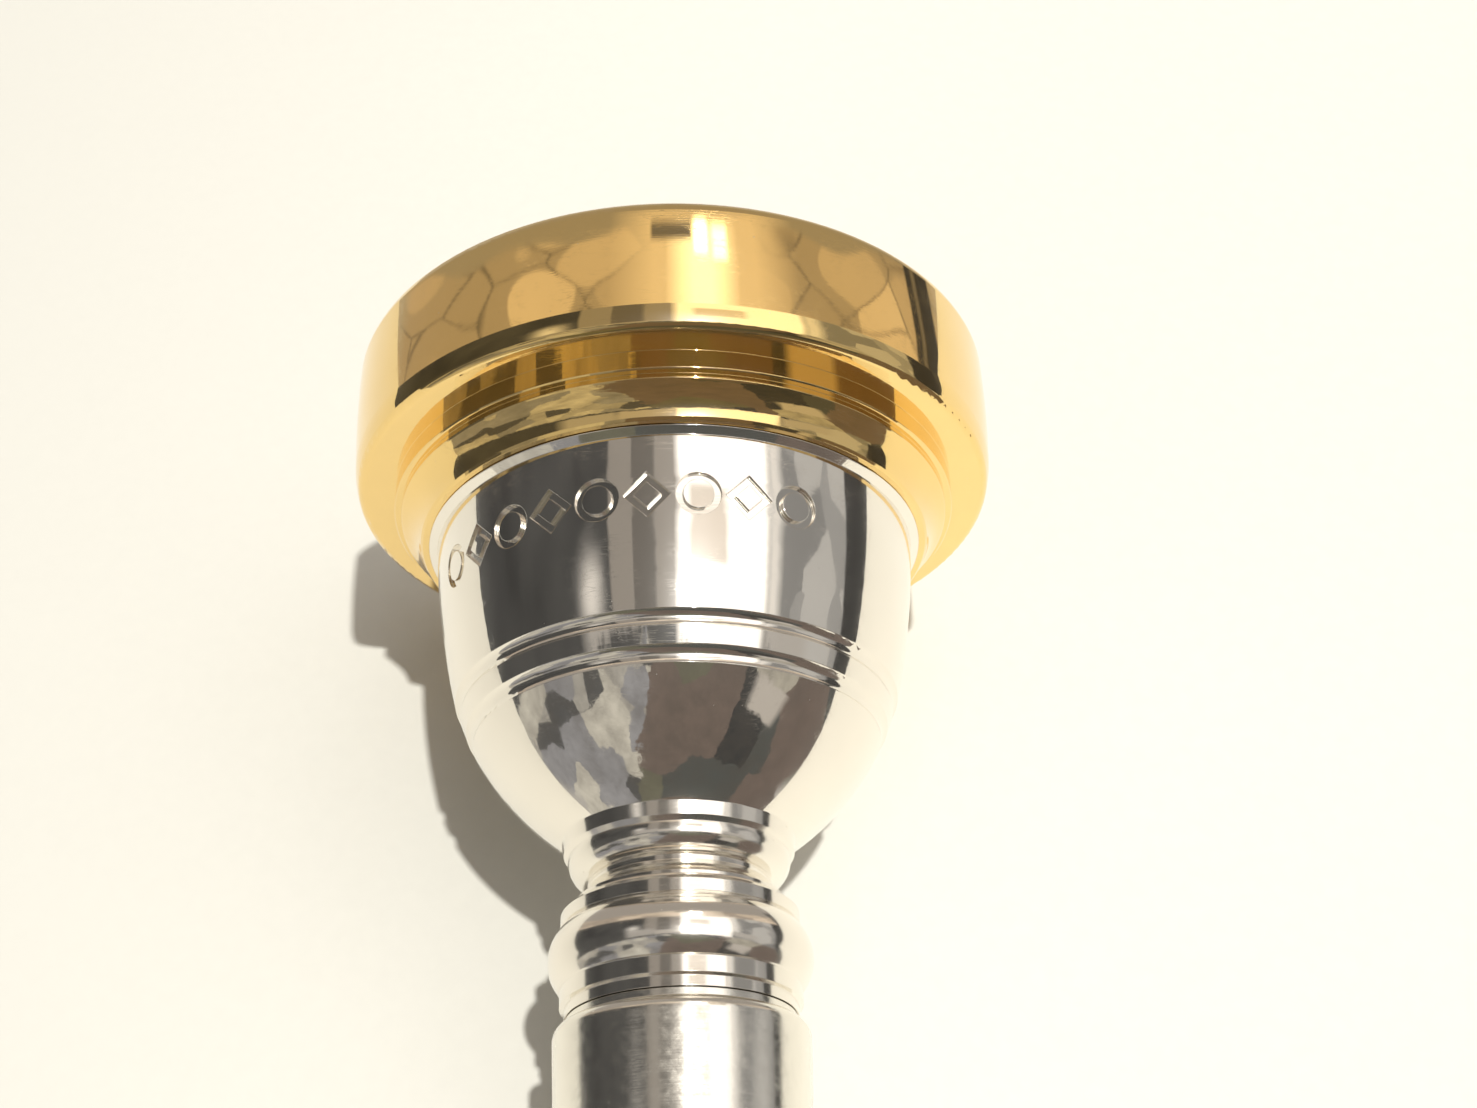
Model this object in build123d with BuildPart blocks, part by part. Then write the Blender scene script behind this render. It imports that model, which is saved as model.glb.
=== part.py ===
from build123d import *
import os
from math import cos, radians, sin

os.makedirs("parts", exist_ok=True)

# A large-shank brass mouthpiece, in millimetres. Z = 0 is the plane that the rim's crown rests on, and
# +Z runs along the bore to the tip of the shank. Every piece but the threads and the stamped ornament is
# turned about Z, so its section is drawn in the XZ plane from stations given as (radius, height).

# Main sizes
LENGTH = 82.0
RIM_RADIUS = 20.25
MOUTH_RADIUS = 14.0
THROAT_RADIUS = 3.6
TIP_RADIUS = 6.3
TIP_WALL = 0.9
TAPER_PER_MM = 0.5 / 20  # the receiver taper, 1 in 20 on the diameter

# Where the pieces meet
RIM_END = 13.75
COLLAR_END = 43.55
SHOULDER_GAP = 0.05

# Rim: rounded bite and crown, tight shoulder, nearly straight side, flat underside, stepped neck, cove
CROWN = (15.9, 0)
CROWN_INNER = (15.37, 0.09)
BITE_TOP = (14.9, 0.35)
BITE_MIDDLE = (14.304, 1.04)
BITE_END = (MOUTH_RADIUS, 1.9)
RIM_SHOULDER_START = (19.9, 1.72)
RIM_SHOULDER_MIDDLE = (20.085, 1.96)
SIDE_START = (RIM_RADIUS - 0.05, 2.35)
SIDE_MIDDLE = (RIM_RADIUS, 5.4)
SIDE_END = (RIM_RADIUS - 0.12, 8.9)
CORNER_START_MIDDLE = (20.061, 9.422)
CORNER = (19.92, 9.93)
CORNER_END_MIDDLE = (19.757, 10.149)
CORNER_END = (19.5, 10.24)
NECK_RADII = (17.6, 17.15)
NECK_TOP = 10.26
NECK_STEP = 11.52
NECK_END = 11.84
NECK_CHAMFER = 0.08
RIM_COVE_START = (NECK_RADII[1] - NECK_CHAMFER, NECK_END + NECK_CHAMFER)
RIM_COVE_MIDDLE = (16.3, 12.68)
RIM_COVE_END = (15.86, 13.6)
RIM_FOOT_RADIUS = 15.72
LIP_RADIUS = 15.35

# Cup: wall, two turned grooves, bowl
WALL_START = (14.8, 14.1)
WALL_MIDDLE = (14.24, 19.8)
GROOVES = (
    ((13.32, 24.4), (12.95, 24.75), (12.99, 25.25)),
    ((12.6, 26.25), (12.2, 26.58), (12.15, 27.15)),
)
BOWL_MIDDLE = (9.84, 30.4)
BOWL_END = (6.85, 33.05)
CUP_INSIDE = ((4.6, 30.0), (8.3, 25.8), (11.9, 18.5))
THROAT_START = 32.6

# Collar: band, cove, disc, torus, ring and step
BAND_STEP = ((6.72, 33.85), (6.45, 34.1))
COVE_LIP_MIDDLE = (6.3, 34.95)
COVE_LIP_END = (5.5, 35.6)
COVE_FLOOR = ((5.3, 35.65), (5.3, 35.95))
COVE_MIDDLE = (5.6, 36.55)
DISC_FOOT = ((6.1, 36.85), (6.1, 37.05), (6.6, 37.35))
DISC_EDGE = ((6.85, 37.6), (6.85, 38.3), (6.7, 38.4))
TORUS_START = (6.85, 38.5)
TORUS_MIDDLE = (7.55, 40.15)
TORUS_END = (6.97, 41.85)
RING = ((6.86, 41.92), (6.86, 42.85), (6.6, 42.95))

# Shank: cove band, rounded shoulder, taper and backbore
COVE_BAND_END = (6.5, 44.0)
SHOULDER_MIDDLE = (7.02, 44.24)
SHOULDER_END_HEIGHT = 44.8
SHOULDER_RADIUS = TIP_RADIUS + TAPER_PER_MM * (LENGTH - SHOULDER_END_HEIGHT)
TIP_ROUND = 0.2
BACKBORE_START_RADIUS = THROAT_RADIUS + 0.02
BACKBORE_MIDDLE = (4.4, 60.0)

# Screw joints: a right-hand trapezoid thread on each spigot
PITCH = 0.75
THREAD_TURNS = 4
THREAD_DEPTH = 0.34
THREAD_ROOT = 0.44
THREAD_CREST = 0.16
THREAD_CLEARANCE = 0.06
THREAD_BITE = 0.12
SPIGOT_CHAMFER = 0.25
SOCKET_CLEARANCE = 0.08

# Rim socket, and the seal in the pocket at its mouth
RIM_SOCKET_FLOOR = 7.6
RIM_SOCKET_LIP = 13.48
RIM_SPIGOT_RADIUS = 14.0
RIM_THREAD_START = 9.0
RIM_POCKET_FLOOR = 12.55
RIM_POCKET_RADIUS = 14.92
RIM_SEAL_CENTRE = (14.46, 13.15)
RIM_SEAL_SECTION = 0.37

# Shank socket in the collar, and its seal
SHANK_SOCKET_FLOOR = 37.6
SHANK_SPIGOT_RADIUS = 4.9
SHANK_THREAD_START = 39.0
SHANK_POCKET_FLOOR = 42.45
SHANK_POCKET_RADIUS = 5.78
SHANK_SEAL_CENTRE = (5.34, 43.0)
SHANK_SEAL_SECTION = 0.34

# Stamped ornament on the cup's wall: alternate rings and lozenges on the side that faces -Y
MARK_COUNT = 9
MARK_STEP_DEG = 11.5
MARK_FIRST_DEG = -120.5
MARK_HEIGHT = 17.8
MARK_FLOOR_RADIUS = 14.27
MARK_LEAN = 0.1  # how far the wall leans in per mm of height
MARK_REACH = 1.0
MARK_RADIUS = 1.3
MARK_STROKE = 0.42
LOZENGE_SIDE = 1.5 * MARK_RADIUS


def helical_rib(radius, start, turns, root, crest, depth):
    """A trapezoid rib wound right-handed on a cylinder, and sunk into it by THREAD_BITE."""
    with BuildPart() as rib:
        with BuildLine() as path:
            Helix(pitch=PITCH, height=PITCH * turns, radius=radius, center=(0, 0, start))
        with BuildSketch(Plane(path.line @ 0, x_dir=(1, 0, 0), z_dir=path.line % 0)):
            with BuildLine():
                Polyline(
                    (-THREAD_BITE, -root / 2),
                    (0, -root / 2),
                    (depth, -crest / 2),
                    (depth, crest / 2),
                    (0, root / 2),
                    (-THREAD_BITE, root / 2),
                    close=True,
                )
            make_face()
        sweep(path=path.line, is_frenet=True)
    return rib.part


def spigot_thread(radius, start):
    """The rib on a spigot of this radius."""
    return helical_rib(radius, start, THREAD_TURNS, THREAD_ROOT, THREAD_CREST, THREAD_DEPTH)


def socket_thread(radius, start):
    """The groove in its socket: a turn longer at each end, and clear of the rib all round."""
    flank_slope = (THREAD_ROOT - THREAD_CREST) / THREAD_DEPTH
    widening = (2 - flank_slope) * THREAD_CLEARANCE
    return helical_rib(
        radius + THREAD_CLEARANCE,
        start - PITCH,
        THREAD_TURNS + 2,
        THREAD_ROOT + widening,
        THREAD_CREST + widening,
        THREAD_DEPTH,
    )


def seal_ring(centre, section):
    """A rubber ring of round section about the bore."""
    with BuildPart() as ring:
        with BuildSketch(Plane.XZ):
            with Locations(centre):
                Circle(section)
        revolve(axis=Axis.Z)
    return ring


# Rim
rim_bore = RIM_SPIGOT_RADIUS + SOCKET_CLEARANCE
with BuildPart() as rim:
    with BuildSketch(Plane.XZ):
        with BuildLine():
            ThreePointArc(CROWN, CROWN_INNER, BITE_TOP)
            ThreePointArc(BITE_TOP, BITE_MIDDLE, BITE_END)
            TangentArc(CROWN, RIM_SHOULDER_START, tangent=(1, 0))
            ThreePointArc(RIM_SHOULDER_START, RIM_SHOULDER_MIDDLE, SIDE_START)
            ThreePointArc(SIDE_START, SIDE_MIDDLE, SIDE_END)
            ThreePointArc(SIDE_END, CORNER_START_MIDDLE, CORNER)
            ThreePointArc(CORNER, CORNER_END_MIDDLE, CORNER_END)
            Polyline(
                CORNER_END,
                (NECK_RADII[0], NECK_TOP),
                (NECK_RADII[0], NECK_STEP - NECK_CHAMFER),
                (NECK_RADII[0] - NECK_CHAMFER, NECK_STEP),
                (NECK_RADII[1], NECK_STEP),
                (NECK_RADII[1], NECK_END),
                RIM_COVE_START,
            )
            ThreePointArc(RIM_COVE_START, RIM_COVE_MIDDLE, RIM_COVE_END)
            Polyline(
                RIM_COVE_END,
                (RIM_FOOT_RADIUS, RIM_END),
                (RIM_POCKET_RADIUS, RIM_END),
                (RIM_POCKET_RADIUS, RIM_POCKET_FLOOR),
                (rim_bore, RIM_POCKET_FLOOR),
                (rim_bore, RIM_SOCKET_FLOOR),
                (RIM_SOCKET_LIP, RIM_SOCKET_FLOOR),
                BITE_END,
            )
        make_face()
    revolve(axis=Axis.Z)
    add(socket_thread(RIM_SPIGOT_RADIUS, RIM_THREAD_START), mode=Mode.SUBTRACT)


# Stamped ornament, cut from the cup below
with BuildPart() as marks:
    for index in range(MARK_COUNT):
        angle = radians(MARK_FIRST_DEG + index * MARK_STEP_DEG)
        outward = Vector(cos(angle), sin(angle), 0)
        mark_floor = Plane(
            outward * MARK_FLOOR_RADIUS + Vector(0, 0, MARK_HEIGHT),
            x_dir=(-sin(angle), cos(angle), 0),
            z_dir=outward + Vector(0, 0, MARK_LEAN),
        )
        with BuildSketch(mark_floor):
            if index % 2:
                Rectangle(LOZENGE_SIDE, LOZENGE_SIDE, rotation=45)
                offset(amount=-MARK_STROKE, kind=Kind.INTERSECTION, mode=Mode.SUBTRACT)
            else:
                Circle(MARK_RADIUS)
                Circle(MARK_RADIUS - MARK_STROKE, mode=Mode.SUBTRACT)
        extrude(amount=MARK_REACH)


# Cup
cup_start = RIM_SOCKET_FLOOR + SHOULDER_GAP
lip_start = RIM_END + SHOULDER_GAP
mouth_slope = (MOUTH_RADIUS - RIM_SOCKET_LIP) / (RIM_SOCKET_FLOOR - BITE_END[1])
cup_mouth = (RIM_SOCKET_LIP - mouth_slope * SHOULDER_GAP, cup_start)
collar_bore = SHANK_SPIGOT_RADIUS + SOCKET_CLEARANCE
with BuildPart() as cup:
    with BuildSketch(Plane.XZ):
        with BuildLine():
            Polyline(
                cup_mouth,
                (RIM_SPIGOT_RADIUS - SPIGOT_CHAMFER, cup_start),
                (RIM_SPIGOT_RADIUS, cup_start + SPIGOT_CHAMFER),
                (RIM_SPIGOT_RADIUS, lip_start),
                (LIP_RADIUS, lip_start),
                WALL_START,
            )
            ThreePointArc(WALL_START, WALL_MIDDLE, GROOVES[0][0])
            for groove in GROOVES:
                ThreePointArc(*groove)
            Line(GROOVES[0][-1], GROOVES[1][0])
            ThreePointArc(GROOVES[1][-1], BOWL_MIDDLE, BOWL_END)
            Polyline(BOWL_END, *BAND_STEP)
            ThreePointArc(BAND_STEP[-1], COVE_LIP_MIDDLE, COVE_LIP_END)
            Polyline(COVE_LIP_END, *COVE_FLOOR)
            ThreePointArc(COVE_FLOOR[-1], COVE_MIDDLE, DISC_FOOT[0])
            Polyline(*DISC_FOOT, *DISC_EDGE, TORUS_START)
            ThreePointArc(TORUS_START, TORUS_MIDDLE, TORUS_END)
            Polyline(
                TORUS_END,
                *RING,
                (RING[-1][0], COLLAR_END),
                (SHANK_POCKET_RADIUS, COLLAR_END),
                (SHANK_POCKET_RADIUS, SHANK_POCKET_FLOOR),
                (collar_bore, SHANK_POCKET_FLOOR),
                (collar_bore, SHANK_SOCKET_FLOOR),
                (THROAT_RADIUS, SHANK_SOCKET_FLOOR),
                (THROAT_RADIUS, THROAT_START),
            )
            Spline(
                (THROAT_RADIUS, THROAT_START),
                *CUP_INSIDE,
                cup_mouth,
                tangents=((0, -1), (mouth_slope, -1)),
            )
        make_face()
    revolve(axis=Axis.Z)
    add(marks.part, mode=Mode.SUBTRACT)
    add(socket_thread(SHANK_SPIGOT_RADIUS, SHANK_THREAD_START), mode=Mode.SUBTRACT)
    add(spigot_thread(RIM_SPIGOT_RADIUS, RIM_THREAD_START))


# Shank
spigot_start = SHANK_SOCKET_FLOOR + SHOULDER_GAP
flange_start = COLLAR_END + SHOULDER_GAP
with BuildPart() as shank:
    with BuildSketch(Plane.XZ):
        with BuildLine():
            Polyline(
                (BACKBORE_START_RADIUS, spigot_start),
                (SHANK_SPIGOT_RADIUS - SPIGOT_CHAMFER, spigot_start),
                (SHANK_SPIGOT_RADIUS, spigot_start + SPIGOT_CHAMFER),
                (SHANK_SPIGOT_RADIUS, flange_start),
                (COVE_BAND_END[0], flange_start),
                COVE_BAND_END,
            )
            ThreePointArc(COVE_BAND_END, SHOULDER_MIDDLE, (SHOULDER_RADIUS, SHOULDER_END_HEIGHT))
            Polyline(
                (SHOULDER_RADIUS, SHOULDER_END_HEIGHT),
                (TIP_RADIUS, LENGTH),
                (TIP_RADIUS - TIP_WALL, LENGTH),
            )
            Spline(
                (TIP_RADIUS - TIP_WALL, LENGTH),
                BACKBORE_MIDDLE,
                (BACKBORE_START_RADIUS, spigot_start),
            )
        make_face()
    revolve(axis=Axis.Z)
    add(spigot_thread(SHANK_SPIGOT_RADIUS, SHANK_THREAD_START))
    tip_edge = shank.edges().filter_by(GeomType.CIRCLE).group_by(Axis.Z)[-1].sort_by(SortBy.RADIUS)[-1]
    fillet(tip_edge, radius=TIP_ROUND)


# Seals
rim_seal = seal_ring(RIM_SEAL_CENTRE, RIM_SEAL_SECTION)
shank_seal = seal_ring(SHANK_SEAL_CENTRE, SHANK_SEAL_SECTION)

rim.part.label = "rim"
rim_seal.part.label = "rim_seal"
cup.part.label = "cup"
shank_seal.part.label = "shank_seal"
shank.part.label = "shank"

for piece in (rim, rim_seal, cup, shank_seal, shank):
    export_step(piece.part, f"parts/{piece.part.label}.step")
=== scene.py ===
import math

import bpy
from mathutils import Matrix, Vector


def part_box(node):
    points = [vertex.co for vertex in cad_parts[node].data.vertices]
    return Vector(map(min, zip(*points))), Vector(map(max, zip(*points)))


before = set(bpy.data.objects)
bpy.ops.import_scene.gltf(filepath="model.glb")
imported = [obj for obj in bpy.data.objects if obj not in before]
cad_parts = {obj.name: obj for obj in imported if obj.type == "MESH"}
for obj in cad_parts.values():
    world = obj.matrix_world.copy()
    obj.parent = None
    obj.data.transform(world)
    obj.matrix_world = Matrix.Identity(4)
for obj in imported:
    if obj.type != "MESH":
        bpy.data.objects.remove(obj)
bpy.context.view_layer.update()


def grey(level, warmth=0.0):
    """A grey of that brightness. Warmth adds red and takes away blue."""
    return (level * (1 + warmth), level, level * (1 - warmth), 1)


def shade(colour, level):
    """The colour, dimmed to that share of its brightness."""
    return tuple(level * part for part in colour[:3]) + (1,)


# The mouthpiece stands on its rim, with the bore along +Z. Lengths are in metres unless a name says mm, and
# angles are in degrees.
MM = 0.001
RIM_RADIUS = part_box("rim")[1].x
TIP_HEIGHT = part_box("shank")[1].z
TIP_RADIUS = 6.3 * MM

# Camera: in front of the shank, looking down at the cup, rolled so that the rim is at the top of the picture.
EYE = Vector((-4.0, -112.5, 76.6)) * MM
VIEW_ELEVATION = 29.18
VIEW_ROLL = 178.18
LENS_MM = 49.85
SENSOR_MM = 36.0
CLIP_START, CLIP_END = 0.005, 10.0

# Table: in the plane that touches the back of the rim and the back of the tip, as if the mouthpiece lay on
# it. It stops short of the tip. The ends are heights along the bore.
TABLE_GAP = 0.05 * MM
TABLE_TOUCH_HEIGHT = 8.6 * MM
TABLE_SIDES = (-172 * MM, 175 * MM)
TABLE_ENDS = (-76 * MM, 62 * MM)
TABLE_COLOUR = (0.755, 0.755, 0.71, 1)
TABLE_GRAIN_COLOUR = shade(TABLE_COLOUR, level=0.97)
# Painted shade: the table's colour is dimmed towards +X, standing in for light that falls off across it
TABLE_PAINTED_SHADE_COLOUR = shade(TABLE_COLOUR, level=0.85)
TABLE_PAINTED_SHADE_FROM_MM, TABLE_PAINTED_SHADE_TO_MM = -10.0, 70.0  # across, towards +X
TABLE_PAINTED_SHADE_SHARE = 0.8

# Sun, seen from the mouthpiece: azimuth to the right of the front, elevation above the horizon
SUN_AZIMUTH = 11.0
SUN_ELEVATION = 3.0
SUN_POWER = 3.0
SUN_SPREAD = 1.6
SUN_COLOUR = (1.0, 0.97, 0.90)

# Finishes
GOLD = (0.93, 0.665, 0.26, 1)
GOLD_INSIDE = (0.95, 0.74, 0.40, 1)
SILVER = (0.88, 0.83, 0.74, 1)
SATIN = (0.87, 0.83, 0.74, 1)
RUBBER = (0.018, 0.018, 0.020, 1)
RUBBER_DUSTY = (0.06, 0.058, 0.055, 1)
DUST = (0.55, 0.5, 0.42, 1)
DUST_COVER = 0.6
EDGE_RADIUS = 0.06 * MM
EDGE_SAMPLES = 4

# The gold-coloured inside of the cup: the surface that faces the bore, below this height and within this
# radius
INSIDE_BELOW_MM = 31.0
INSIDE_WITHIN_MM = 13.6
FACING_IN = -0.01

# Turning rings and wiping hairlines
RINGS_ON_FLATS = 0.8  # how far the rings also follow the radius, so that flat faces have them too
HAIRLINE_STRETCH = (0.12, 2.2, 2.2)

# What each mark adds to the roughness, and how high it stands in the relief
COLLAR_FOOT_MM = 33.2
COLLAR_BLEND_MM = 0.2
COLLAR_ROUGHNESS = 0.07
SCRATCH_ROUGHNESS = 0.12
SPECK_ROUGHNESS = 0.35
SCRATCH_RELIEF = -0.6
RING_RELIEF = 0.7
RIPPLE_RELIEF = 0.3
SATIN_ROUGHNESS = 0.10
SATIN_BLOTCH_ROUGHNESS = 0.13
SATIN_RING_ROUGHNESS = 0.08
SATIN_BLOTCH_RELIEF = 1.6
SATIN_RING_RELIEF = 0.5

# The room, as polished metal mirrors it. Heights are the sine of the elevation, and azimuths are to the right
# of the front. The floor lies below FLOOR_END and the ceiling above CEILING_START, with the walls between.
CEILING_START = 0.28
FLOOR_END = -0.47
HORIZON_SOFT = 0.01
BACKDROP = (1.0, 1.0, 0.93, 1)

# Walls: charcoal, with faint facets right of the window
CHARCOAL = (grey(0.02), grey(0.12, 0.02))
FACET_AZIMUTHS = (50.0, 91.0)
FACET_SOFT = 0.4
FACETS = (
    (0.0, grey(0.26, 0.02)),
    (0.4, grey(0.36, 0.02)),
    (0.7, grey(0.52, 0.03)),
)

# Floor: tan patches on a duller ground, with thin dark outlines, and a dull lip lowest down
PATCHES = (
    (0.15, grey(0.47, 0.20)),
    (0.5, grey(0.54, 0.20)),
    (0.85, grey(0.66, 0.20)),
)
PATCH_GROUND = grey(0.38, 0.18)
PATCH_OUTLINE = grey(0.13, 0.15)
PATCH_SWAY = 0.5
LIP = grey(0.34, 0.10)
LIP_WAVER = 0.14

# Ceiling: large and mostly dim shapes, and small brighter panes to the left of a leaning, wavering boundary
CEILING = (
    (0.0, (0.055, 0.055, 0.055, 1)),
    (0.20, (0.19, 0.150, 0.130, 1)),
    (0.42, (0.17, 0.165, 0.12, 1)),
    (0.62, (0.10, 0.105, 0.10, 1)),
    (0.80, (0.52, 0.49, 0.42, 1)),
)
PANES = (
    (0.0, (0.10, 0.10, 0.10, 1)),
    (0.12, (0.34, 0.34, 0.36, 1)),
    (0.45, (0.50, 0.48, 0.44, 1)),
    (0.70, (0.66, 0.63, 0.56, 1)),
)
CEILING_CELLS = 3.1
PANE_CELLS = 7.5
CELL_SHIFT = 0.06
BOUNDARY_LEAN = -0.3
BOUNDARY_WAVER = 0.5
CLOUD = grey(0.09, 0.12)

# How deep the ragged noise tears the ceiling's edge and the panels' edges
CEILING_TEAR = 0.16
PANEL_TEAR = 0.10
PANEL_SOFT_HEIGHT = 0.008

# Panels: (azimuths, heights, soft edge in degrees, level, warmth). A later one covers an earlier one.
PANELS = (
    ((-170, -112), (-1.0, 0.7), 4.0, 0.45, 0.05),
    ((114, 170), (-1.0, 0.7), 4.0, 0.50, 0.05),
    ((-28, -17), (-0.48, 0.16), 0.6, 0.30, 0.10),
    ((-17, -7), (-0.48, 0.10), 0.6, 0.15, 0.10),
    ((-7, 3), (-0.48, 0.10), 0.8, 0.32, 0.10),
    ((3, 46), (-0.48, 0.29), 1.5, 1.5, 0.04),  # the window
    ((9, 26), (-0.33, -0.125), 1.2, 0.78, 0.13),
    ((46, 52), (-0.48, 0.06), 2.0, 0.85, 0.05),
    ((90, 92), (-0.48, 0.16), 0.3, 0.5, 0.03),
    ((-44, -20), (0.0, 0.24), 3.0, 0.42, 0.06),
    ((-20, 3), (0.07, 0.24), 1.0, 0.46, 0.08),
    ((46, 70), (0.07, 0.23), 3.0, 0.46, 0.06),
    ((50, 72), (0.50, 0.68), 2.0, 0.50, 0.08),
    ((-12, 40), (-0.67, -0.46), 8.0, 0.78, 0.18),
    ((5, 21), (-0.65, -0.46), 5.0, 2.0, 0.05),
    ((-5, 9.5), (-0.655, -0.625), 0.6, 0.17, 0.10),
    ((10.5, 15), (-0.655, -0.598), 0.8, 6.0, 0.02),
    ((17, 22), (-0.648, -0.585), 0.8, 4.0, 0.04),
    ((89, 103), (-0.48, 0.22), 0.5, 0.045, 0.05),
    ((98.5, 112), (-0.70, -0.475), 0.5, 0.05, 0.05),
    ((102, 104), (-0.64, -0.46), 0.8, 0.20, 0.10),
)

# Lamp: a soft glow left of the front. The glow starts at this cosine of the angle from its middle.
LAMP_AZIMUTH, LAMP_ELEVATION = -38.0, -5.0
LAMP_EDGE = 0.975
LAMP_FALLOFF = 5.0
LAMP_TONE = grey(0.8, 0.05)


class Graph:
    """Short calls for building a node tree."""

    def __init__(self, tree):
        self.tree = tree
        tree.nodes.clear()

    def feed(self, socket, value):
        if isinstance(value, bpy.types.NodeSocket):
            self.tree.links.new(value, socket)
        else:
            socket.default_value = value

    def node(self, kind, inputs=None, **settings):
        made = self.tree.nodes.new("ShaderNode" + kind)
        for name, value in settings.items():
            setattr(made, name, value)
        for name, value in (inputs or {}).items():
            self.feed(made.inputs[name], value)
        return made

    def in_order(self, made, values):
        """The node, with the values fed to its inputs from the first one on."""
        for socket, value in zip(made.inputs, values):
            self.feed(socket, value)
        return made

    def math(self, operation, *values):
        return self.in_order(self.node("Math", operation=operation), values).outputs[0]

    def vector(self, operation, *values, output=0):
        return self.in_order(self.node("VectorMath", operation=operation), values).outputs[output]

    def combine(self, x, y, z):
        return self.node("CombineXYZ", {"X": x, "Y": y, "Z": z}).outputs[0]

    def spread(self, value, low, high, to_low=0.0, to_high=1.0):
        """The value from low..high to to_low..to_high, clamped."""
        made = self.node("MapRange", clamp=True)
        return self.in_order(made, (value, low, high, to_low, to_high)).outputs[0]

    def above(self, value, level, soft):
        """1 above the level and 0 below it, with a soft edge."""
        return self.spread(value, level - soft, level + soft)

    def below(self, value, level, soft):
        """1 below the level and 0 above it, with a soft edge."""
        return self.spread(value, level - soft, level + soft, 1.0, 0.0)

    def within(self, value, low, high, soft):
        """1 between low and high, with soft edges."""
        return self.math("MULTIPLY", self.above(value, low, soft), self.below(value, high, soft))

    def add_up(self, base, *shares):
        """The base plus mask times amount, for each share of (mask, amount)."""
        for mask, amount in shares:
            base = self.math("MULTIPLY_ADD", mask, amount, base)
        return base

    def noise(self, vector, scale, detail=2.0, roughness=0.5, output="Fac"):
        inputs = {"Vector": vector, "Scale": scale, "Detail": detail, "Roughness": roughness}
        return self.node("TexNoise", inputs).outputs[output]

    def cells(self, vector, scale, feature="F1"):
        return self.node("TexVoronoi", {"Vector": vector, "Scale": scale}, feature=feature)

    def chance(self, cells):
        """A random level for each Voronoi cell."""
        return self.node("SeparateColor", {"Color": cells.outputs["Color"]}).outputs[0]

    def mix(self, factor, first, second):
        made = self.node("Mix", data_type="RGBA")
        self.feed(made.inputs[0], factor)
        self.feed(made.inputs[6], first)
        self.feed(made.inputs[7], second)
        return made.outputs[2]

    def ramp(self, factor, stops, interpolation="LINEAR"):
        made = self.node("ValToRGB", {"Fac": factor})
        ramp = made.color_ramp
        ramp.interpolation = interpolation
        while len(ramp.elements) < len(stops):
            ramp.elements.new(1.0)
        for element, (place, colour) in zip(ramp.elements, stops):
            element.position = place
            element.color = colour
        return made.outputs["Color"]

    def millimetres(self):
        """The object-space point in mm."""
        made = self.node("VectorMath", {"Scale": 1 / MM}, operation="SCALE")
        self.feed(made.inputs[0], self.node("TexCoord").outputs["Object"])
        return made.outputs[0]

    def surface(self, inputs):
        shader = self.node("BsdfPrincipled", inputs)
        self.feed(self.node("OutputMaterial").inputs["Surface"], shader.outputs[0])


def new_material(name):
    material = bpy.data.materials.new(name)
    material.use_nodes = True
    return material, Graph(material.node_tree)


def turned_coordinates(graph):
    """The point in mm, its parts, and its distance from the bore's axis."""
    point = graph.millimetres()
    x, y, z = graph.node("SeparateXYZ", {"Vector": point}).outputs
    radius = graph.vector("LENGTH", graph.combine(x, y, 0.0), output="Value")
    return point, x, y, z, radius


def edge_relief(graph, height, strength, depth_mm):
    """Bump over normals that are rounded at sharp edges."""
    edge = graph.node("Bevel", {"Radius": EDGE_RADIUS}, samples=EDGE_SAMPLES)
    inputs = {"Strength": strength, "Distance": depth_mm * MM, "Height": height, "Normal": edge.outputs[0]}
    return graph.node("Bump", inputs).outputs[0]


def turning_lines(graph, x, y, z, radius, arc, pitch):
    """Fine rings left by the lathe and the polishing wheel. A larger arc makes them change faster round the
    bore, and a larger pitch sets them closer."""
    around_x = graph.math("MULTIPLY", graph.math("DIVIDE", x, radius), arc)
    around_y = graph.math("MULTIPLY", graph.math("DIVIDE", y, radius), arc)
    along = graph.math("MULTIPLY", graph.math("MULTIPLY_ADD", radius, RINGS_ON_FLATS, z), pitch)
    return graph.noise(graph.combine(around_x, around_y, along), scale=1.0, detail=3.0, roughness=0.6)


def hairlines(graph, point, tilt, width):
    """Thin scratches: the middle level line of a noise that is stretched along one direction."""
    turned = graph.node("Mapping", {"Vector": point, "Rotation": tilt, "Scale": HAIRLINE_STRETCH})
    level = graph.noise(turned.outputs[0], scale=1.6, detail=1.0)
    away = graph.math("ABSOLUTE", graph.math("SUBTRACT", level, 0.5))
    return graph.spread(away, low=0.0, high=width, to_low=1.0, to_high=0.0)


def wiping_scratches(graph, point):
    """Hairlines in two directions, here and there."""
    first = hairlines(graph, point, tilt=(0.3, 0.5, 1.1), width=0.006)
    second = hairlines(graph, point, tilt=(1.2, -0.4, 0.2), width=0.005)
    places = graph.spread(graph.noise(point, scale=0.9), low=0.45, high=0.62)
    return graph.math("MULTIPLY", graph.math("MAXIMUM", first, second), places)


def dust_specks(graph, point):
    """A small dot in about one Voronoi cell of seven."""
    cells = graph.cells(point, scale=1.3)
    dot = graph.spread(cells.outputs["Distance"], low=0.03, high=0.07, to_low=1.0, to_high=0.0)
    return graph.math("MULTIPLY", dot, graph.spread(graph.chance(cells), low=0.86, high=0.87))


def bowl_inside(graph, x, y, z, radius):
    """1 on the inside of the cup, and 0 elsewhere."""
    normal = graph.node("TexCoord").outputs["Normal"]
    outward = graph.vector("DOT_PRODUCT", normal, graph.combine(x, y, 0.0), output="Value")
    inner = graph.math("LESS_THAN", outward, FACING_IN)
    inner = graph.math("MULTIPLY", inner, graph.math("LESS_THAN", z, INSIDE_BELOW_MM))
    return graph.math("MULTIPLY", inner, graph.math("LESS_THAN", radius, INSIDE_WITHIN_MM))


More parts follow.
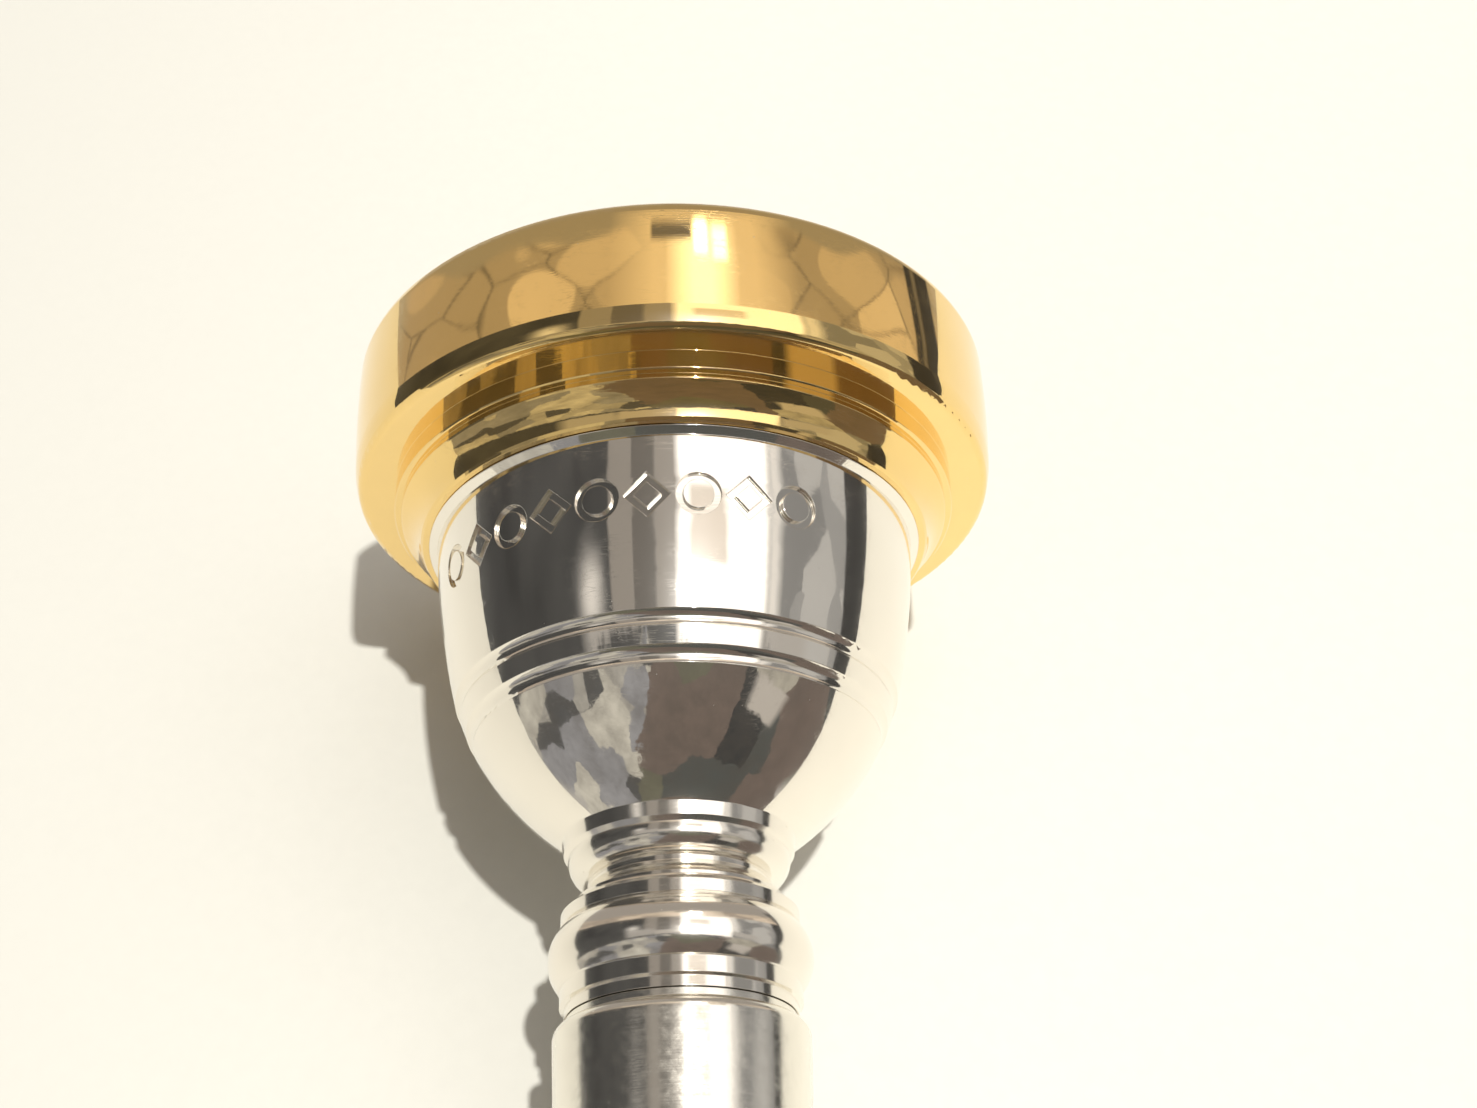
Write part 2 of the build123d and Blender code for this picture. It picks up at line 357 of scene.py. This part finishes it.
def plated_metal(name, colour, roughness, lines, haze, coat, inside=None):
    """Plate polished over turned brass. Lines and haze are what turning rings and handling add to the
    roughness, and inside is the colour of the cup's inside, where it has its own."""
    material, graph = new_material(name)
    point, x, y, z, radius = turned_coordinates(graph)
    rings = turning_lines(graph, x, y, z, radius, arc=3.0, pitch=9.0)
    smudge = graph.noise(point, scale=0.28, detail=4.0, roughness=0.55)
    scratch = wiping_scratches(graph, point)
    speck = dust_specks(graph, point)
    collar = graph.spread(z, low=COLLAR_FOOT_MM - COLLAR_BLEND_MM, high=COLLAR_FOOT_MM)
    rough = graph.add_up(
        roughness,
        (graph.spread(smudge, low=0.42, high=0.72), haze),
        (graph.spread(rings, low=0.5, high=0.8), lines),
        (collar, COLLAR_ROUGHNESS),
        (scratch, SCRATCH_ROUGHNESS),
        (speck, SPECK_ROUGHNESS),
    )

    dull = graph.spread(smudge, low=0.35, high=0.75, to_high=0.5)
    tone = graph.mix(dull, colour, shade(colour, level=0.93))
    if inside is not None:
        tone = graph.mix(bowl_inside(graph, x, y, z, radius), tone, inside)
    tone = graph.mix(graph.math("MULTIPLY", speck, DUST_COVER), tone, DUST)

    ripple = graph.noise(point, scale=2.2, detail=3.0)
    height = graph.add_up(0.0, (scratch, SCRATCH_RELIEF), (rings, RING_RELIEF), (ripple, RIPPLE_RELIEF))
    relief = edge_relief(graph, height, strength=0.08, depth_mm=0.01)
    graph.surface(
        {
            "Base Color": tone,
            "Metallic": 1.0,
            "Roughness": rough,
            "Normal": relief,
            "Coat Weight": coat,
            "Coat Roughness": 0.26,
            "Coat IOR": 1.9,
            "Coat Normal": relief,
        }
    )
    return material


def satin_metal():
    """The shank: plate over a fine turned surface, blotchy where it has rubbed in the receiver."""
    material, graph = new_material("shank_satin_silver")
    point, x, y, z, radius = turned_coordinates(graph)
    rings = turning_lines(graph, x, y, z, radius, arc=2.0, pitch=14.0)
    blotch = graph.noise(point, scale=1.5, detail=5.0, roughness=0.65)
    smudge = graph.noise(point, scale=0.35, detail=3.0)
    rough = graph.add_up(
        SATIN_ROUGHNESS,
        (graph.spread(blotch, low=0.35, high=0.7), SATIN_BLOTCH_ROUGHNESS),
        (graph.spread(rings, low=0.35, high=0.8), SATIN_RING_ROUGHNESS),
    )
    dull = graph.spread(smudge, low=0.4, high=0.75, to_high=0.7)
    height = graph.add_up(0.0, (rings, SATIN_RING_RELIEF), (blotch, SATIN_BLOTCH_RELIEF))
    graph.surface(
        {
            "Base Color": graph.mix(dull, SATIN, shade(SATIN, level=0.88)),
            "Metallic": 1.0,
            "Roughness": rough,
            "Normal": edge_relief(graph, height, strength=0.16, depth_mm=0.02),
            "Coat Weight": 0.8,
            "Coat Roughness": 0.35,
            "Coat IOR": 1.7,
        }
    )
    return material


def seal_rubber():
    """Moulded black rubber, a little dusty."""
    material, graph = new_material("seal_rubber")
    grain = graph.noise(graph.millimetres(), scale=6.0, detail=4.0, roughness=0.6)
    graph.surface(
        {
            "Base Color": graph.mix(graph.spread(grain, low=0.45, high=0.8), RUBBER, RUBBER_DUSTY),
            "Roughness": graph.spread(grain, low=0.2, high=0.8, to_low=0.45, to_high=0.75),
            "Normal": edge_relief(graph, grain, strength=0.4, depth_mm=0.02),
        }
    )
    return material


def table_material():
    """A pale matt top with a faint grain and painted shade that darkens it towards +X, that shows on its
    front side only.
    """
    material, graph = new_material("table_pale")
    point = graph.millimetres()
    grain = graph.spread(graph.noise(point, scale=0.9, detail=3.0), low=0.3, high=0.8)
    tone = graph.mix(grain, TABLE_COLOUR, TABLE_GRAIN_COLOUR)
    x = graph.node("SeparateXYZ", {"Vector": point}).outputs[0]
    # Painted shade: the table's colour darkens towards +X
    painted_shade = graph.spread(x, TABLE_PAINTED_SHADE_FROM_MM, TABLE_PAINTED_SHADE_TO_MM, to_high=TABLE_PAINTED_SHADE_SHARE)
    tone = graph.mix(painted_shade, tone, TABLE_PAINTED_SHADE_COLOUR)
    shader = graph.node("BsdfPrincipled", {"Base Color": tone, "Roughness": 0.6})

    back = graph.node("NewGeometry").outputs["Backfacing"]
    clear = graph.node("BsdfTransparent")
    one_sided = graph.in_order(graph.node("MixShader"), (back, shader.outputs[0], clear.outputs[0]))
    graph.feed(graph.node("OutputMaterial").inputs["Surface"], one_sided.outputs[0])
    return material


def make_table():
    touch_low = Vector((0, RIM_RADIUS + TABLE_GAP, TABLE_TOUCH_HEIGHT))
    touch_high = Vector((0, TIP_RADIUS + TABLE_GAP, TIP_HEIGHT))
    along = (touch_high - touch_low) / (touch_high.z - touch_low.z)
    near, far = TABLE_SIDES
    low, high = TABLE_ENDS
    corners = [
        touch_low + along * (height - touch_low.z) + Vector((side, 0, 0))
        for side, height in ((near, low), (far, low), (far, high), (near, high))
    ]
    mesh = bpy.data.meshes.new("table")
    mesh.from_pydata(corners, [], [(0, 1, 2, 3)])
    mesh.materials.append(table_material())
    table = bpy.data.objects.new("table", mesh)
    bpy.context.scene.collection.objects.link(table)


def towards(azimuth_deg, elevation_deg):
    """Unit vector towards a place in the room."""
    azimuth, elevation = math.radians(azimuth_deg), math.radians(elevation_deg)
    level = math.cos(elevation)
    return Vector((-math.sin(azimuth) * level, -math.cos(azimuth) * level, math.sin(elevation)))


def cell_tones(graph, vector, scale, stops):
    """One flat tone for each cell of a Voronoi pattern."""
    return graph.ramp(graph.chance(graph.cells(vector, scale)), stops, "CONSTANT")


def unrolled(graph, azimuth, z, across, up):
    """The room's wall as a flat sheet, with that many units to a degree across and to a unit of height."""
    return graph.combine(graph.math("MULTIPLY", azimuth, across), graph.math("MULTIPLY", z, up), 0.0)


def torn_height(graph, ragged, z, depth):
    """The height, raised and lowered by up to half the depth."""
    lowered = graph.math("SUBTRACT", z, depth / 2)
    return graph.math("MULTIPLY_ADD", ragged.outputs["Fac"], depth, lowered)


def wall_tones(graph, direction, azimuth, z):
    facets = cell_tones(graph, unrolled(graph, azimuth, z, across=0.075, up=6.0), 1.0, FACETS)
    charcoal = graph.mix(graph.noise(direction, scale=3.0), *CHARCOAL)
    return graph.mix(graph.within(azimuth, *FACET_AZIMUTHS, FACET_SOFT), charcoal, facets)


def floor_tones(graph, direction, azimuth, z):
    wavy = graph.noise(direction, scale=2.5, detail=1.0, output="Color")
    sway = graph.vector("MULTIPLY", wavy, (PATCH_SWAY, PATCH_SWAY, 0.0))
    bent = graph.vector("ADD", unrolled(graph, azimuth, z, across=0.030, up=9.0), sway)
    patches = graph.cells(bent, scale=1.0)
    edge = graph.cells(bent, scale=1.0, feature="DISTANCE_TO_EDGE").outputs["Distance"]
    ground = graph.spread(patches.outputs["Distance"], low=0.50, high=0.53)
    outline = graph.spread(edge, low=0.0, high=0.022, to_low=0.85, to_high=0.0)
    lip = graph.math("MULTIPLY_ADD", graph.noise(direction, scale=2.0, detail=1.0), LIP_WAVER, z)

    tone = graph.ramp(graph.chance(patches), PATCHES)
    tone = graph.mix(ground, tone, PATCH_GROUND)
    tone = graph.mix(outline, tone, PATCH_OUTLINE)
    return graph.mix(graph.spread(lip, low=-0.566, high=-0.560, to_low=1.0, to_high=0.0), tone, LIP)


def ceiling_tones(graph, direction, ragged, x, y, z):
    rise = graph.math("ADD", z, 1.0)
    sheet = graph.combine(graph.math("DIVIDE", x, rise), graph.math("DIVIDE", y, rise), 0.0)
    middle = (-CELL_SHIFT / 2, -CELL_SHIFT / 2, 0.0)
    shift = graph.vector("MULTIPLY_ADD", ragged.outputs["Color"], (CELL_SHIFT, CELL_SHIFT, 0.0), middle)
    sheet = graph.vector("ADD", sheet, shift)
    shapes = cell_tones(graph, sheet, CEILING_CELLS, CEILING)
    panes = cell_tones(graph, sheet, PANE_CELLS, PANES)

    lean = graph.math("MULTIPLY_ADD", z, BOUNDARY_LEAN, x)
    waver = graph.noise(direction, scale=3.5, detail=5.0, roughness=0.6)
    side = graph.math("MULTIPLY_ADD", waver, BOUNDARY_WAVER, lean)
    tone = graph.mix(graph.spread(side, low=0.29, high=0.30), shapes, panes)
    cloud = graph.noise(direction, scale=6.0, detail=5.0, roughness=0.65)
    return graph.mix(graph.spread(cloud, low=0.35, high=0.65, to_low=0.45, to_high=0.0), tone, CLOUD)


def add_panels(graph, room, ragged, azimuth, z):
    """The room with its panels. Their ends are torn, or plain on a panel that stays below the horizon."""
    torn = torn_height(graph, ragged, z, PANEL_TEAR)
    for (left, right), (low, high), soft, level, warmth in PANELS:
        across = graph.within(azimuth, left, right, soft)
        up = graph.within(z if high < 0 else torn, low, high, PANEL_SOFT_HEIGHT)
        room = graph.mix(graph.math("MULTIPLY", across, up), room, grey(level, warmth))
    return room


def add_lamp(graph, room, direction):
    middle = towards(LAMP_AZIMUTH, LAMP_ELEVATION)
    nearness = graph.vector("DOT_PRODUCT", direction, middle, output="Value")
    glow = graph.math("POWER", graph.spread(nearness, LAMP_EDGE, 1.0), LAMP_FALLOFF)
    return graph.mix(glow, room, LAMP_TONE)


def make_room():
    """World: a pale backdrop for the lens, and for reflections a dim room with lit panels and patches."""
    world = bpy.data.worlds.new("room")
    bpy.context.scene.world = world
    world.use_nodes = True
    graph = Graph(world.node_tree)
    direction = graph.node("TexCoord").outputs["Generated"]
    x, y, z = graph.node("SeparateXYZ", {"Vector": direction}).outputs
    angle = graph.math("ARCTAN2", graph.math("MULTIPLY", x, -1.0), graph.math("MULTIPLY", y, -1.0))
    azimuth = graph.math("MULTIPLY", angle, 180 / math.pi)
    ragged = graph.node("TexNoise", {"Vector": direction, "Scale": 9.0, "Detail": 6.0, "Roughness": 0.7})

    room = wall_tones(graph, direction, azimuth, z)
    floor = floor_tones(graph, direction, azimuth, z)
    room = graph.mix(graph.below(z, FLOOR_END, HORIZON_SOFT), room, floor)
    ceiling = ceiling_tones(graph, direction, ragged, x, y, z)
    uneven = torn_height(graph, ragged, z, CEILING_TEAR)
    room = graph.mix(graph.above(uneven, CEILING_START, HORIZON_SOFT), room, ceiling)
    room = add_panels(graph, room, ragged, azimuth, z)
    room = add_lamp(graph, room, direction)

    seen = graph.node("LightPath").outputs["Is Camera Ray"]
    backdrop = graph.node("Background", {"Color": graph.mix(seen, room, BACKDROP), "Strength": 1.0})
    graph.feed(graph.node("OutputWorld").inputs["Surface"], backdrop.outputs[0])


def make_sun():
    light = bpy.data.lights.new("sun", "SUN")
    light.energy = SUN_POWER
    light.angle = math.radians(SUN_SPREAD)
    light.color = SUN_COLOUR
    sun = bpy.data.objects.new("sun", light)
    bpy.context.scene.collection.objects.link(sun)
    sun.rotation_mode = "QUATERNION"
    sun.rotation_quaternion = towards(SUN_AZIMUTH, SUN_ELEVATION).to_track_quat("Z", "Y")


def make_camera():
    data = bpy.data.cameras.new("camera")
    data.lens = LENS_MM
    data.sensor_width = SENSOR_MM
    data.clip_start = CLIP_START
    data.clip_end = CLIP_END
    camera = bpy.data.objects.new("camera", data)
    bpy.context.scene.collection.objects.link(camera)
    look = Matrix.Rotation(math.radians(90 - VIEW_ELEVATION), 4, "X")
    roll = Matrix.Rotation(math.radians(VIEW_ROLL), 4, "Z")
    camera.matrix_world = Matrix.Translation(EYE) @ look @ roll
    bpy.context.scene.camera = camera


finishes = {
    "rim": plated_metal("rim_gold_plate", GOLD, roughness=0.015, lines=0.02, haze=0.035, coat=0.3),
    "cup": plated_metal(
        "cup_silver_plate", SILVER, roughness=0.02, lines=0.03, haze=0.04, coat=0.7, inside=GOLD_INSIDE
    ),
    "shank": satin_metal(),
    "rim_seal": seal_rubber(),
    "shank_seal": seal_rubber(),
}
for name, material in finishes.items():
    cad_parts[name].material_slots[0].material = material

make_table()
make_room()
make_sun()
make_camera()
bpy.context.scene.view_settings.view_transform = "Standard"
